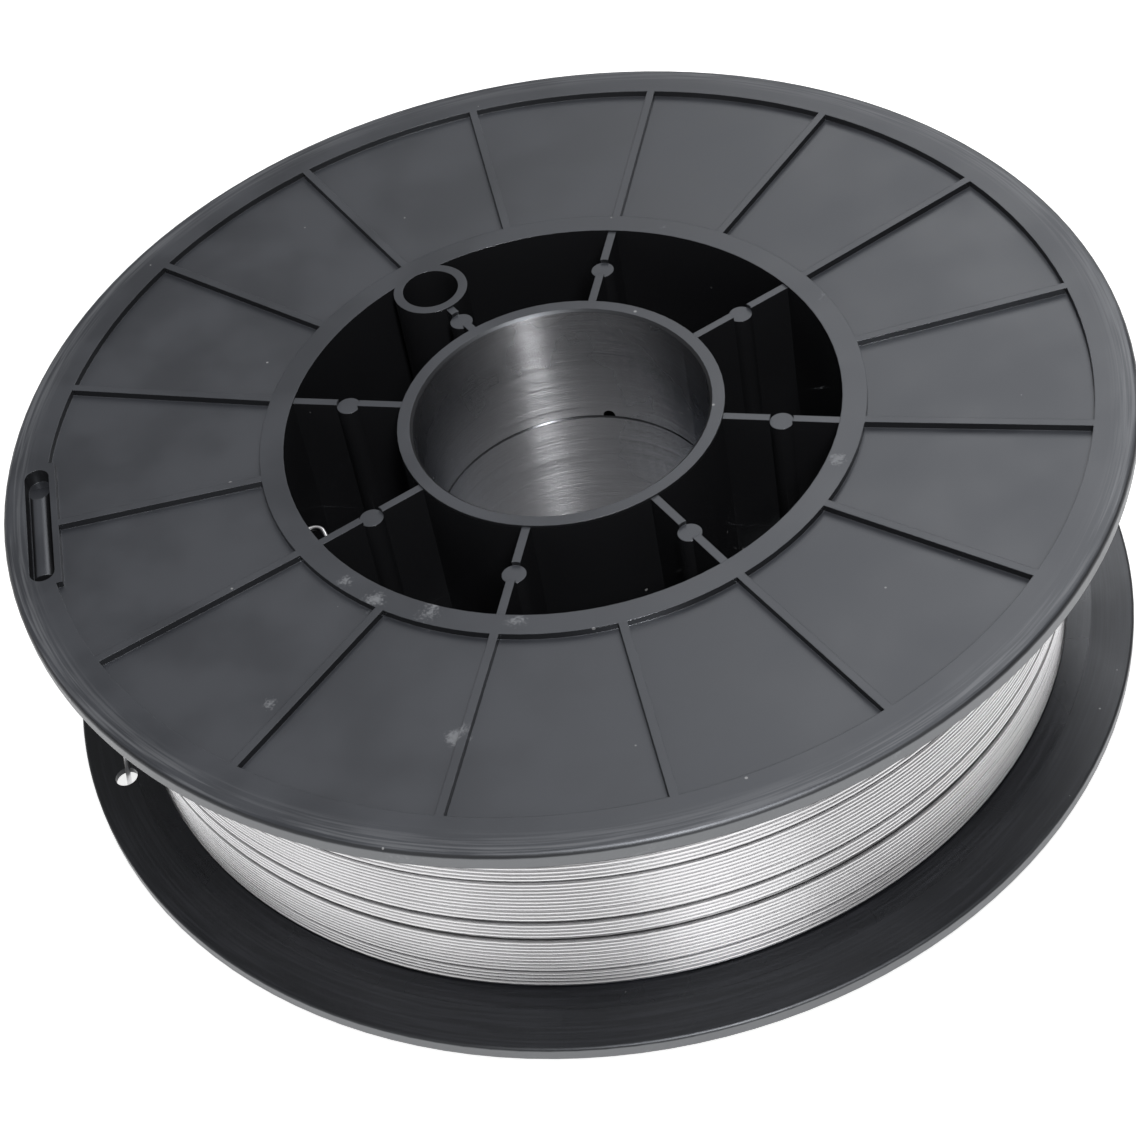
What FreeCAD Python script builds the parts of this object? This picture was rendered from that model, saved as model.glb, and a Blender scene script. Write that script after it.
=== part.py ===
import FreeCAD, Part
import math
import os

import Sketcher

# A wound spool of welding wire: two moulded halves joined at the middle of the width, a coil of
# wire between their flanges, and the wire's two free ends.
# The spool lies on its lower flange. The origin is the centre of the base, +Z runs up the bore,
# and the drive hole lies on +Y. Lengths are in millimetres and angles in degrees.
SIZES = {
    # whole spool
    "flange_diameter": 200.0,
    "overall_width": 55.0,
    # how far the hub's face lies below the rim's, because the flanges bow outwards
    "hub_recess": 1.0,
    # flange
    "rim_thickness": 3.2,
    "root_thickness": 4.0,
    "rim_width": 7.5,
    # how far the ring round the hub reaches outside the barrel
    "ring_width": 2.0,
    "panel_depth": 1.25,
    "rib_width": 1.5,
    "rim_outer_round": 1.0,
    "rim_inner_round": 0.5,
    # hub
    "barrel_outer_radius": 52.0,
    "barrel_wall": 2.3,
    "bore_radius": 26.5,
    "bore_wall": 2.7,
    "bore_mouth_bevel": 0.5,
    "seam_bevel": 0.3,
    "spoke_width": 1.5,
    "spoke_drop": 0.4,
    "boss_radius": 2.1,
    "boss_drop": 1.2,
    # from the bore tube's outside to the centre of the boss on the drive tube's spoke
    "drive_boss_gap": 4.5,
    # drive hole
    "drive_hole_offset": 44.5,
    "drive_hole_radius": 5.25,
    "drive_tube_wall": 1.75,
    # blind wire slot in the upper rim, with the tongue that clips the wire's end
    "slot_angle": 157.2,
    # from the flange's edge to the slot's middle line
    "slot_inset": 6.5,
    "slot_length": 28.7,
    "slot_width": 4.4,
    "slot_wall": 1.2,
    "slot_floor": 0.6,
    "tongue_gap": 0.5,
    "tongue_inner_gap": 0.3,
    "tongue_drop": 0.3,
    "tongue_near_gap": 1.7,
    "tongue_tip_gap": 1.8,
    "tongue_bevel": 5.6,
    "tongue_round": 1.5,
    # hole in the lower rim for the wire's outer end
    "anchor_angle": 166.8,
    # from the flange's edge to the hole's centre
    "anchor_inset": 6.2,
    "anchor_radius": 2.1,
    "anchor_sink_depth": 2.2,
    # wire
    "wire_diameter": 0.9,
    "wire_clearance": 0.3,
    # from the flange's edge to the outside of the wound wire
    "coil_inset": 12.0,
    "coil_edge_bevel": 0.8,
    "turn_gap_width": 1.2,
    "turn_gap_depth": 0.8,
    # from the upper flange's inner face down to the wire's outer end, where it leaves the coil
    "tail_drop": 3.9,
    "tail_bend_radius": 3.0,
    "tail_end_height": 0.8,
    "start_angle": 169.0,
    # from the upper flange's inner face, at the barrel, down to the wire's inner end
    "start_drop": 1.5,
    "start_hole_radius": 0.9,
    # how far the wire's inner end stands off the barrel's inside
    "start_overhang": 3.1,
    "start_bend_radius": 1.8,
    # between the tip of the wire's inner end and the spoke that it points at
    "start_tip_gap": 0.6,
}
# Heights above the base of the wide gaps between turns that show on the coil.
TURN_GAP_HEIGHTS = {"turn_gap_a": 8.0, "turn_gap_b": 17.7, "turn_gap_c": 22.0, "turn_gap_d": 32.9}
SIZES.update(TURN_GAP_HEIGHTS)
RIB_COUNT = 16
SPOKE_COUNT = 8
# Spare length where a cut or a joined form runs past the face that it meets.
OVERRUN = 0.5

doc = FreeCAD.newDocument("wire_spool")
sheet = doc.addObject("Spreadsheet::Sheet", "sizes")
for row, (alias, number) in enumerate(SIZES.items(), start=1):
    sheet.set("A%d" % row, alias)
    sheet.set("B%d" % row, str(number))
    sheet.setAlias("B%d" % row, alias)
doc.recompute()


class Size:
    """A length that knows its value now and its formula on the sheet."""

    def __init__(self, value, formula):
        self.value = value
        self.formula = formula

    def __add__(self, other):
        other = as_size(other)
        return Size(self.value + other.value, "(%s + %s)" % (self.formula, other.formula))

    def __sub__(self, other):
        other = as_size(other)
        return Size(self.value - other.value, "(%s - %s)" % (self.formula, other.formula))

    def __mul__(self, other):
        other = as_size(other)
        return Size(self.value * other.value, "(%s * %s)" % (self.formula, other.formula))

    def __truediv__(self, other):
        other = as_size(other)
        return Size(self.value / other.value, "(%s / %s)" % (self.formula, other.formula))


def as_size(number):
    return number if isinstance(number, Size) else Size(float(number), "%g" % number)


def size(alias):
    return Size(SIZES[alias], "sizes." + alias)


def cosine(angle):
    return Size(math.cos(math.radians(angle.value)), "cos(%s * 1 deg)" % angle.formula)


def sine(angle):
    return Size(math.sin(math.radians(angle.value)), "sin(%s * 1 deg)" % angle.formula)


# Heights in a half's own frame: the joint face is at 0 and the outer face points up.
half_width = size("overall_width") / 2
rim_face = half_width
hub_face = half_width - size("hub_recess")
flange_radius = size("flange_diameter") / 2
root_inner_face = hub_face - size("root_thickness")
rim_inner_face = rim_face - size("rim_thickness")
rim_inner = flange_radius - size("rim_width")
barrel_outer = size("barrel_outer_radius")
barrel_inner = barrel_outer - size("barrel_wall")
barrel_middle = barrel_outer - size("barrel_wall") / 2
ring_outer = barrel_outer + size("ring_width")
bore_tube_radius = size("bore_radius") + size("bore_wall")
tube_middle = size("bore_radius") + size("bore_wall") / 2
slot_offset = flange_radius - size("slot_inset")
anchor_offset = flange_radius - size("anchor_inset")
coil_radius = flange_radius - size("coil_inset")
wire_radius = size("wire_diameter") / 2
start_height = root_inner_face - size("start_drop")


def inner_face_at(radius):
    """Height of the flange's inner face, which slopes from its root at the barrel to the rim."""
    slope = (rim_inner_face - root_inner_face) / (flange_radius - barrel_outer)
    return root_inner_face + (radius - barrel_outer) * slope


def origin_part(body, role):
    return next(item for item in body.Origin.OriginFeatures if item.Role == role)


def new_sketch(body, name, plane, lift=None, angle=None, distance=None):
    """A sketch on a plane of the body.

    lift raises it along the plane's normal. angle turns it about the spool's axis: on XY_Plane in
    its own plane, on XZ_Plane and YZ_Plane with the plane. distance moves an upright sketch out
    from the axis, at that angle.
    """
    sketch = body.newObject("Sketcher::SketchObject", name)
    sketch.AttachmentSupport = [(origin_part(body, plane), "")]
    sketch.MapMode = "FlatFace"
    turn_axis = FreeCAD.Vector(0, 0, 1) if plane == "XY_Plane" else FreeCAD.Vector(0, 1, 0)
    degrees = angle.value if angle else 0.0
    sketch.AttachmentOffset = FreeCAD.Placement(FreeCAD.Vector(), FreeCAD.Rotation(turn_axis, degrees))
    if angle:
        sketch.setExpression("AttachmentOffset.Rotation.Angle", "%s * 1 deg" % angle.formula)
    if lift:
        sketch.setExpression("AttachmentOffset.Base.z", lift.formula)
    if distance and plane == "YZ_Plane":
        sketch.setExpression("AttachmentOffset.Base.x", (distance * sine(angle)).formula)
        sketch.setExpression("AttachmentOffset.Base.z", (distance * cosine(angle)).formula)
    if distance and plane == "XZ_Plane":
        sketch.setExpression("AttachmentOffset.Base.x", (distance * cosine(angle)).formula)
        sketch.setExpression("AttachmentOffset.Base.z", (as_size(0) - distance * sine(angle)).formula)
    return sketch


def value_of(length):
    """The value now. None stands for zero, a place on the axis."""
    return length.value if length else 0.0


def tie(sketch, kind, ends, length):
    """Adds a dimension and binds it to the sheet."""
    index = sketch.addConstraint(Sketcher.Constraint(kind, *ends, length.value))
    sketch.setExpression("Constraints[%d]" % index, length.formula)


def place_point(sketch, geometry, point, x, y):
    """Fixes a point of the sketch. None puts it on the axis."""
    if x is None:
        sketch.addConstraint(Sketcher.Constraint("PointOnObject", geometry, point, -2))
    else:
        tie(sketch, "DistanceX", (-1, 1, geometry, point), x)
    if y is None:
        sketch.addConstraint(Sketcher.Constraint("PointOnObject", geometry, point, -1))
    else:
        tie(sketch, "DistanceY", (-1, 1, geometry, point), y)


def draw_outline(sketch, corners):
    """A closed outline of straight lines."""
    places = [FreeCAD.Vector(value_of(x), value_of(y), 0) for x, y in corners]
    count = len(places)
    for start, end in zip(places, places[1:] + places[:1]):
        sketch.addGeometry(Part.LineSegment(start, end), False)
    for index in range(count):
        sketch.addConstraint(Sketcher.Constraint("Coincident", index, 2, (index + 1) % count, 1))
    for index, (x, y) in enumerate(corners):
        place_point(sketch, index, 1, x, y)


def draw_circle(sketch, x, y, radius):
    centre = FreeCAD.Vector(value_of(x), value_of(y), 0)
    index = sketch.addGeometry(Part.Circle(centre, FreeCAD.Vector(0, 0, 1), radius.value), False)
    place_point(sketch, index, 3, x, y)
    tie(sketch, "Radius", (index,), radius)


def draw_obround(sketch, x, length, width):
    """A slot with round ends, centred at x and long in the sketch's second direction."""
    radius = width / 2
    reach = (length - width) / 2
    normal = FreeCAD.Vector(0, 0, 1)
    left = x.value - radius.value
    right = x.value + radius.value
    top = Part.Circle(FreeCAD.Vector(x.value, reach.value, 0), normal, radius.value)
    bottom = Part.Circle(FreeCAD.Vector(x.value, -reach.value, 0), normal, radius.value)
    sketch.addGeometry(Part.ArcOfCircle(top, 0, math.pi), False)
    sketch.addGeometry(Part.LineSegment(FreeCAD.Vector(left, reach.value, 0),
                                        FreeCAD.Vector(left, -reach.value, 0)), False)
    sketch.addGeometry(Part.ArcOfCircle(bottom, math.pi, 2 * math.pi), False)
    sketch.addGeometry(Part.LineSegment(FreeCAD.Vector(right, -reach.value, 0),
                                        FreeCAD.Vector(right, reach.value, 0)), False)
    for index in range(4):
        sketch.addConstraint(Sketcher.Constraint("Tangent", index, 2, (index + 1) % 4, 1))
    sketch.addConstraint(Sketcher.Constraint("Equal", 0, 2))
    tie(sketch, "Radius", (0,), radius)
    tie(sketch, "DistanceX", (-1, 1, 0, 3), x)
    tie(sketch, "DistanceX", (-1, 1, 2, 3), x)
    tie(sketch, "DistanceY", (-1, 1, 0, 3), reach)
    tie(sketch, "DistanceY", (2, 3, -1, 1), reach)


def draw_bend(sketch, start, end, radius):
    """An open path: a level run, a quarter turn to the right, and an upright run."""
    start_x, start_y = value_of(start[0]), value_of(start[1])
    end_x, end_y = value_of(end[0]), value_of(end[1])
    side = math.copysign(radius.value, end_x - start_x)
    centre = FreeCAD.Vector(end_x - side, start_y - side, 0)
    bend_start = FreeCAD.Vector(end_x - side, start_y, 0)
    bend_end = FreeCAD.Vector(end_x, start_y - side, 0)
    first_angle = 0.0 if side > 0 else math.pi
    circle = Part.Circle(centre, FreeCAD.Vector(0, 0, 1), radius.value)
    sketch.addGeometry(Part.LineSegment(FreeCAD.Vector(start_x, start_y, 0), bend_start), False)
    sketch.addGeometry(Part.ArcOfCircle(circle, first_angle, first_angle + math.pi / 2), False)
    sketch.addGeometry(Part.LineSegment(bend_end, FreeCAD.Vector(end_x, end_y, 0)), False)
    sketch.addConstraint(Sketcher.Constraint("Horizontal", 0))
    sketch.addConstraint(Sketcher.Constraint("Vertical", 2))
    sketch.addConstraint(Sketcher.Constraint("Tangent", 0, 2, 1, 2))
    sketch.addConstraint(Sketcher.Constraint("Tangent", 1, 1, 2, 1))
    tie(sketch, "Radius", (1,), radius)
    place_point(sketch, 0, 1, *start)
    place_point(sketch, 2, 2, *end)


def revolve(body, name, sketch, kind="Revolution", axis=None):
    feature = body.newObject("PartDesign::" + kind, name)
    feature.Profile = sketch
    feature.ReferenceAxis = axis or (origin_part(body, "Z_Axis"), [""])
    feature.Angle = 360.0
    body.Tip = feature
    return feature


def extrude(body, name, sketch, length=None, kind="Pad", both_ways=False, backwards=False):
    """A pad or a pocket. With no length it runs through all."""
    feature = body.newObject("PartDesign::" + kind, name)
    feature.Profile = sketch
    feature.Type = "Length" if length else "ThroughAll"
    feature.SideType = "Symmetric" if both_ways else "One side"
    feature.Reversed = backwards
    if length:
        feature.setExpression("Length", length.formula)
    body.Tip = feature
    return feature


def repeat_round(body, name, features, count, angle=360.0):
    pattern = body.newObject("PartDesign::PolarPattern", name)
    pattern.Originals = features
    pattern.Axis = (origin_part(body, "Z_Axis"), [""])
    pattern.Angle = angle
    pattern.Occurrences = count
    body.Tip = pattern
    return pattern


def round_edges(body, name, radius, wanted):
    """Rounds the edges of the body so far for which wanted(edge) is true."""
    doc.recompute()
    base = body.Tip
    names = ["Edge%d" % number for number, edge in enumerate(base.Shape.Edges, start=1) if wanted(edge)]
    if not names:
        raise RuntimeError("%s found no edge" % name)
    feature = body.newObject("PartDesign::Fillet", name)
    feature.Base = (base, names)
    feature.setExpression("Radius", radius.formula)
    body.Tip = feature
    return feature


def is_circle_at(edge, radius, height):
    """True for a full circle about the spool's axis."""
    if not isinstance(edge.Curve, Part.Circle) or not edge.isClosed():
        return False
    centre = edge.Curve.Center
    return (abs(edge.Curve.Radius - radius.value) < 1e-3 and abs(centre.z - height.value) < 1e-3
            and math.hypot(centre.x, centre.y) < 1e-3)


def add_flange_and_barrel(body):
    """The dished flange with its raised rim, its sunk panels and the barrel, in one turned form."""
    section = new_sketch(body, "flange_section", "XZ_Plane")
    draw_outline(section, [
        (barrel_inner, None),
        (barrel_outer, None),
        (barrel_outer, root_inner_face),
        (flange_radius, rim_inner_face),
        (flange_radius, rim_face),
        (rim_inner, rim_face),
        (rim_inner, rim_face - size("panel_depth")),
        (ring_outer, hub_face - size("panel_depth")),
        (ring_outer, hub_face),
        (barrel_inner, hub_face),
    ])
    revolve(body, "flange_and_barrel", section)


def add_ribs(body):
    """Radial ribs across the sunk panels, flush with the ring and the rim."""
    section = new_sketch(body, "rib_section", "XZ_Plane")
    draw_outline(section, [
        (ring_outer - OVERRUN, hub_face - size("panel_depth") - OVERRUN),
        (rim_inner + OVERRUN, rim_face - size("panel_depth") - OVERRUN),
        (rim_inner + OVERRUN, rim_face),
        (rim_inner, rim_face),
        (ring_outer, hub_face),
        (ring_outer - OVERRUN, hub_face),
    ])
    rib = extrude(body, "rib", section, size("rib_width"), both_ways=True)
    repeat_round(body, "ribs", [rib], RIB_COUNT)


def add_spokes_and_bore_tube(body):
    """The bore tube, carried by upright webs that run the whole depth of the half."""
    plan = new_sketch(body, "spoke_plan", "XY_Plane")
    half_thickness = size("spoke_width") / 2
    low = as_size(0) - half_thickness
    draw_outline(plan, [(tube_middle, low), (barrel_middle, low),
                        (barrel_middle, half_thickness), (tube_middle, half_thickness)])
    spoke = extrude(body, "spoke", plan, hub_face - size("spoke_drop"))
    repeat_round(body, "spokes", [spoke], SPOKE_COUNT)
    section = new_sketch(body, "bore_section", "XZ_Plane")
    bore = size("bore_radius")
    mouth = size("bore_mouth_bevel")
    seam = size("seam_bevel")
    draw_outline(section, [
        (bore + seam, None),
        (bore_tube_radius, None),
        (bore_tube_radius, hub_face),
        (bore + mouth, hub_face),
        (bore, hub_face - mouth),
        (bore, seam),
    ])
    revolve(body, "bore_tube", section)


def add_boss(body, name, offset, angle):
    """A round boss on a spoke. Its flat top lies below the spoke's edge and is cut into the spoke."""
    plan = new_sketch(body, name + "_plan", "XY_Plane", angle=angle)
    draw_circle(plan, offset, None, size("boss_radius"))
    boss = extrude(body, name, plan, hub_face - size("boss_drop"))
    land_plan = new_sketch(body, name + "_land_plan", "XY_Plane", lift=hub_face, angle=angle)
    draw_circle(land_plan, offset, None, size("boss_radius"))
    land = extrude(body, name + "_land", land_plan, size("boss_drop"), kind="Pocket")
    return [boss, land]


def add_bosses(body):
    """Ejector bosses: midway along each spoke, nearer the bore on the spoke of the drive tube."""
    drive_angle = 90
    step = 360 / SPOKE_COUNT
    middle = (bore_tube_radius + barrel_inner) / 2
    boss = add_boss(body, "boss", middle, as_size(drive_angle + step))
    repeat_round(body, "bosses", boss, SPOKE_COUNT - 1, angle=360 - 2 * step)
    add_boss(body, "drive_boss", bore_tube_radius + size("drive_boss_gap"), as_size(drive_angle))


def add_drive_tube(body):
    """The tube for the drive pin, which joins the barrel's wall."""
    plan = new_sketch(body, "drive_tube_plan", "XY_Plane")
    tube_radius = size("drive_hole_radius") + size("drive_tube_wall")
    draw_circle(plan, None, size("drive_hole_offset"), tube_radius)
    extrude(body, "drive_tube", plan, hub_face)
    hole_plan = new_sketch(body, "drive_hole_plan", "XY_Plane", lift=hub_face)
    draw_circle(hole_plan, None, size("drive_hole_offset"), size("drive_hole_radius"))
    extrude(body, "drive_hole", hole_plan, kind="Pocket")


def round_rim(body):
    round_edges(body, "rim_outer_round", size("rim_outer_round"),
                lambda edge: is_circle_at(edge, flange_radius, rim_face))
    round_edges(body, "rim_inner_round", size("rim_inner_round"),
                lambda edge: is_circle_at(edge, flange_radius, rim_inner_face))


def add_half(name):
    """What the two moulded halves share."""
    body = doc.addObject("PartDesign::Body", name)
    body.Label = name
    add_flange_and_barrel(body)
    add_ribs(body)
    add_spokes_and_bore_tube(body)
    add_bosses(body)
    add_drive_tube(body)
    round_rim(body)
    body.setExpression("Placement.Base.z", half_width.formula)
    return body


def add_wire_slot(body):
    """The long blind slot in the upper rim, its wall on the panel's side, and its round tongue."""
    angle = size("slot_angle")
    slot_radius = size("slot_width") / 2
    slot_inner = slot_offset - slot_radius
    slot_outer = slot_offset + slot_radius
    slot_reach = size("slot_length") / 2
    slot_bottom = inner_face_at(slot_offset) + size("slot_floor")
    wall_plan = new_sketch(body, "slot_wall_plan", "XY_Plane", lift=inner_face_at(slot_inner) + OVERRUN,
                           angle=angle)
    wall_reach = slot_reach + size("slot_wall")
    low = as_size(0) - wall_reach
    wall_inner = slot_inner - size("slot_wall")
    draw_outline(wall_plan, [(wall_inner, low), (slot_outer, low), (slot_outer, wall_reach),
                             (wall_inner, wall_reach)])
    extrude(body, "slot_wall", wall_plan, rim_face - inner_face_at(slot_inner) - OVERRUN)
    plan = new_sketch(body, "slot_plan", "XY_Plane", lift=rim_face, angle=angle)
    draw_obround(plan, slot_offset, size("slot_length"), size("slot_width"))
    extrude(body, "slot", plan, rim_face - slot_bottom, kind="Pocket")
    tongue_outer = slot_outer - size("tongue_gap")
    tongue_inner = slot_inner + size("tongue_inner_gap")
    side = new_sketch(body, "tongue_side", "YZ_Plane", angle=angle, distance=(tongue_outer + tongue_inner) / 2)
    tip = as_size(0) - slot_reach + size("tongue_tip_gap")
    near = slot_reach - size("tongue_near_gap")
    top = rim_face - size("tongue_drop")
    foot = slot_bottom - size("slot_floor") / 2
    draw_outline(side, [(tip, foot), (near, foot), (near, top), (tip + size("tongue_bevel"), top),
                        (tip, slot_bottom)])
    extrude(body, "tongue", side, tongue_outer - tongue_inner, both_ways=True)
    outward = FreeCAD.Vector(math.cos(math.radians(angle.value)), math.sin(math.radians(angle.value)), 0)

    def is_long_top_edge(edge):
        middle = edge.CenterOfMass
        place = middle.dot(outward)
        off_side = min(abs(place - tongue_outer.value), abs(place - tongue_inner.value))
        return abs(middle.z - top.value) < 1e-3 and off_side < 1e-3 and edge.Length > slot_reach.value

    round_edges(body, "tongue_round", size("tongue_round"), is_long_top_edge)


def add_start_hole(body):
    """The small hole through the barrel where the wire's inner end comes out."""
    plan = new_sketch(body, "start_hole_plan", "YZ_Plane", angle=size("start_angle"), distance=barrel_middle)
    draw_circle(plan, None, start_height, size("start_hole_radius"))
    extrude(body, "start_hole", plan, (barrel_outer - barrel_inner) + 2 * OVERRUN, kind="Pocket",
            both_ways=True)


def add_anchor_hole(body):
    """The hole in the lower rim that takes the wire's outer end, opened out on the outer face."""
    mirrored_angle = as_size(180) - size("anchor_angle")
    radius = size("anchor_radius")
    sink = size("anchor_sink_depth")
    section = new_sketch(body, "anchor_section", "XZ_Plane", angle=mirrored_angle, distance=anchor_offset)
    above = rim_face + OVERRUN
    below = inner_face_at(anchor_offset) - OVERRUN
    draw_outline(section, [
        (None, below),
        (radius, below),
        (radius, rim_face - sink),
        (radius + sink, rim_face),
        (radius + sink, above),
        (None, above),
    ])
    revolve(body, "anchor_hole", section, kind="Groove", axis=(section, ["V_Axis"]))


def add_coil():
    """The wound wire as one turned form, with the wide gaps between turns that show."""
    body = doc.addObject("PartDesign::Body", "wire_coil")
    body.Label = "wire_coil"
    clearance = size("wire_clearance")
    inner = barrel_outer + clearance
    outer = coil_radius
    bevel = size("coil_edge_bevel")
    inner_end = inner_face_at(inner) - clearance
    outer_end = inner_face_at(outer) - clearance
    bevel_end = inner_face_at(outer - bevel) - clearance
    corners = [(inner, as_size(0) - inner_end), (outer - bevel, as_size(0) - bevel_end),
               (outer, bevel - outer_end)]
    for alias in sorted(TURN_GAP_HEIGHTS, key=TURN_GAP_HEIGHTS.get):
        height = size(alias) - half_width
        half_gap = size("turn_gap_width") / 2
        corners += [(outer, height - half_gap), (outer - size("turn_gap_depth"), height),
                    (outer, height + half_gap)]
    corners += [(outer, outer_end - bevel), (outer - bevel, bevel_end), (inner, inner_end)]
    section = new_sketch(body, "coil_section", "XZ_Plane")
    draw_outline(section, corners)
    revolve(body, "coil", section)
    body.setExpression("Placement.Base.z", half_width.formula)
    return body


def sweep_wire(body, path, profile):
    feature = body.newObject("PartDesign::AdditivePipe", "wire")
    feature.Profile = profile
    feature.Spine = (path, [])
    body.Tip = feature


def add_wire_tail():
    """The wire's outer end: it leaves the coil on a tangent and drops through the anchor hole.

    The body's own X axis runs along the tangent, from the point where the wire leaves the coil.
    """
    body = doc.addObject("PartDesign::Body", "wire_tail")
    body.Label = "wire_tail"
    leave = coil_radius + wire_radius + size("wire_clearance")
    reach_formula = "sqrt(%s ^ 2 - %s ^ 2)" % (anchor_offset.formula, leave.formula)
    reach = Size(math.sqrt(anchor_offset.value ** 2 - leave.value ** 2), reach_formula)
    turn_formula = "(sizes.anchor_angle * 1 deg + acos(%s / %s))" % (leave.formula, anchor_offset.formula)
    path = new_sketch(body, "tail_path", "XZ_Plane")
    height = half_width + inner_face_at(leave) - size("tail_drop")
    draw_bend(path, (None, height), (reach, size("tail_end_height")), size("tail_bend_radius"))
    profile = new_sketch(body, "tail_profile", "YZ_Plane")
    draw_circle(profile, None, height, wire_radius)
    sweep_wire(body, path, profile)
    turn = SIZES["anchor_angle"] + math.degrees(math.acos(leave.value / anchor_offset.value))
    body.Placement = FreeCAD.Placement(FreeCAD.Vector(), FreeCAD.Rotation(FreeCAD.Vector(0, 0, 1), turn - 90))
    body.setExpression("Placement.Rotation.Angle", "%s - 90 deg" % turn_formula)
    body.setExpression("Placement.Base.x", "%s * cos(%s)" % (leave.formula, turn_formula))
    body.setExpression("Placement.Base.y", "%s * sin(%s)" % (leave.formula, turn_formula))
    return body


def add_wire_start():
    """The wire's inner end: it comes in through the barrel and is bent over towards a spoke."""
    body = doc.addObject("PartDesign::Body", "wire_start")
    body.Label = "wire_start"
    height = half_width + start_height
    inner = barrel_inner - size("start_overhang")
    spoke_angle = as_size(180) - size("start_angle")
    clear_of_spoke = size("spoke_width") / 2 + wire_radius + size("start_tip_gap")
    reach = (inner * sine(spoke_angle) - clear_of_spoke) / cosine(spoke_angle)
    path = new_sketch(body, "start_path", "XY_Plane")
    draw_bend(path, (barrel_outer, None), (inner, reach), size("start_bend_radius"))
    profile = new_sketch(body, "start_profile", "YZ_Plane", lift=barrel_outer)
    draw_circle(profile, None, None, wire_radius)
    sweep_wire(body, path, profile)
    body.Placement = FreeCAD.Placement(
        FreeCAD.Vector(0, 0, height.value),
        FreeCAD.Rotation(FreeCAD.Vector(0, 0, 1), SIZES["start_angle"]))
    body.setExpression("Placement.Rotation.Angle", "sizes.start_angle * 1 deg")
    body.setExpression("Placement.Base.z", height.formula)
    return body


def check_document(bodies):
    """Stops before anything is written if a feature failed or a cut took nothing away."""
    for item in doc.Objects:
        if "Invalid" in item.State or "Error" in item.State:
            raise RuntimeError("%s failed: %s" % (item.Name, item.State))
        if item.TypeId in ("PartDesign::Pocket", "PartDesign::Groove"):
            if item.Shape.Volume > item.BaseFeature.Shape.Volume - 1.0:
                raise RuntimeError("%s cut nothing" % item.Name)
    for body in bodies:
        if body.Shape.isNull() or not body.Shape.isValid() or len(body.Shape.Solids) != 1:
            raise RuntimeError("%s isn't one sound solid" % body.Label)


upper_half = add_half("upper_half")
add_wire_slot(upper_half)
add_start_hole(upper_half)
lower_half = add_half("lower_half")
add_anchor_hole(lower_half)
lower_half.Placement = FreeCAD.Placement(
    FreeCAD.Vector(0, 0, half_width.value), FreeCAD.Rotation(FreeCAD.Vector(0, 1, 0), 180))
bodies = [upper_half, lower_half, add_coil(), add_wire_tail(), add_wire_start()]
doc.recompute()
check_document(bodies)

os.makedirs("parts", exist_ok=True)
for body in bodies:
    body.Shape.exportStep("parts/%s.step" % body.Label)
    box = body.Shape.BoundBox
    print("%-12s volume %9.0f  x %.2f to %.2f  y %.2f to %.2f  z %.2f to %.2f" % (
        body.Label, body.Shape.Volume, box.XMin, box.XMax, box.YMin, box.YMax, box.ZMin, box.ZMax))
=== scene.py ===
import math

import bpy
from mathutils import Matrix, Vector


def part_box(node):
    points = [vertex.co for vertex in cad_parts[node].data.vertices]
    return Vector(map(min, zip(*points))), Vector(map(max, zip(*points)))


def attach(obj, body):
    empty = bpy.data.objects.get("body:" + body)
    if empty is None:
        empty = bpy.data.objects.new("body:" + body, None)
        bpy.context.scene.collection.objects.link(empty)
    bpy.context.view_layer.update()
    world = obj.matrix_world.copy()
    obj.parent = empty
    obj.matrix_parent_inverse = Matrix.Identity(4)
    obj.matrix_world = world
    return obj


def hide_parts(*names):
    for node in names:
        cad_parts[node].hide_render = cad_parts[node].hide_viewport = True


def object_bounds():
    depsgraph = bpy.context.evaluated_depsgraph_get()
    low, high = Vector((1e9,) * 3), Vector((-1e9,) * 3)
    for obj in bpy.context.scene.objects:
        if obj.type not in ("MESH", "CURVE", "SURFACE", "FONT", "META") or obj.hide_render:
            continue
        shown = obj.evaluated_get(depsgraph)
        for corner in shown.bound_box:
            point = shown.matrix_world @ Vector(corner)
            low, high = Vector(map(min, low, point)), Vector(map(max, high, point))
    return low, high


# A wound spool of welding wire. The two moulded halves keep their construction shapes and get a
# moulded finish, and the wound wire is made turn by turn. Lengths are in metres, unless a comment
# says millimetres, and azimuths in degrees from +X.

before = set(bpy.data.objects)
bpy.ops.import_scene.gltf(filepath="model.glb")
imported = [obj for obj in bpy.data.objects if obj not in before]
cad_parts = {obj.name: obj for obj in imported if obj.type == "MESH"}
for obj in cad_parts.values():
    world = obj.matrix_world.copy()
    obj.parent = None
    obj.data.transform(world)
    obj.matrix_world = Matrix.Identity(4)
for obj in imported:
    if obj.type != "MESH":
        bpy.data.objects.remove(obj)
cad_low, cad_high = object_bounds()

MM = 0.001
BODY = "root"
HALVES = ("upper_half", "lower_half")
WIRE_SLOT = "welding_wire"
MID_HEIGHT = (cad_low.z + cad_high.z) / 2

# Wound wire
coil_low, coil_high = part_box("wire_coil")
COIL_RADIUS = coil_high.x
COIL_BORE_RADIUS = 52.3 * MM
WIRE_RADIUS = 0.45 * MM
TURN_PITCH = 0.905 * MM
LAYER_STEP = 0.80 * MM
# The lowest turns rest on the flange, below the flat end of the construction's solid ring.
TURNS_BELOW_RING = 0.40 * MM
# Where the turns step up across the gaps, on the side away from the camera.
STEP_AZIMUTH = 62.0
# How much of a turn a step takes, to each side of its middle.
STEP_SHARE = 0.05
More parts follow.
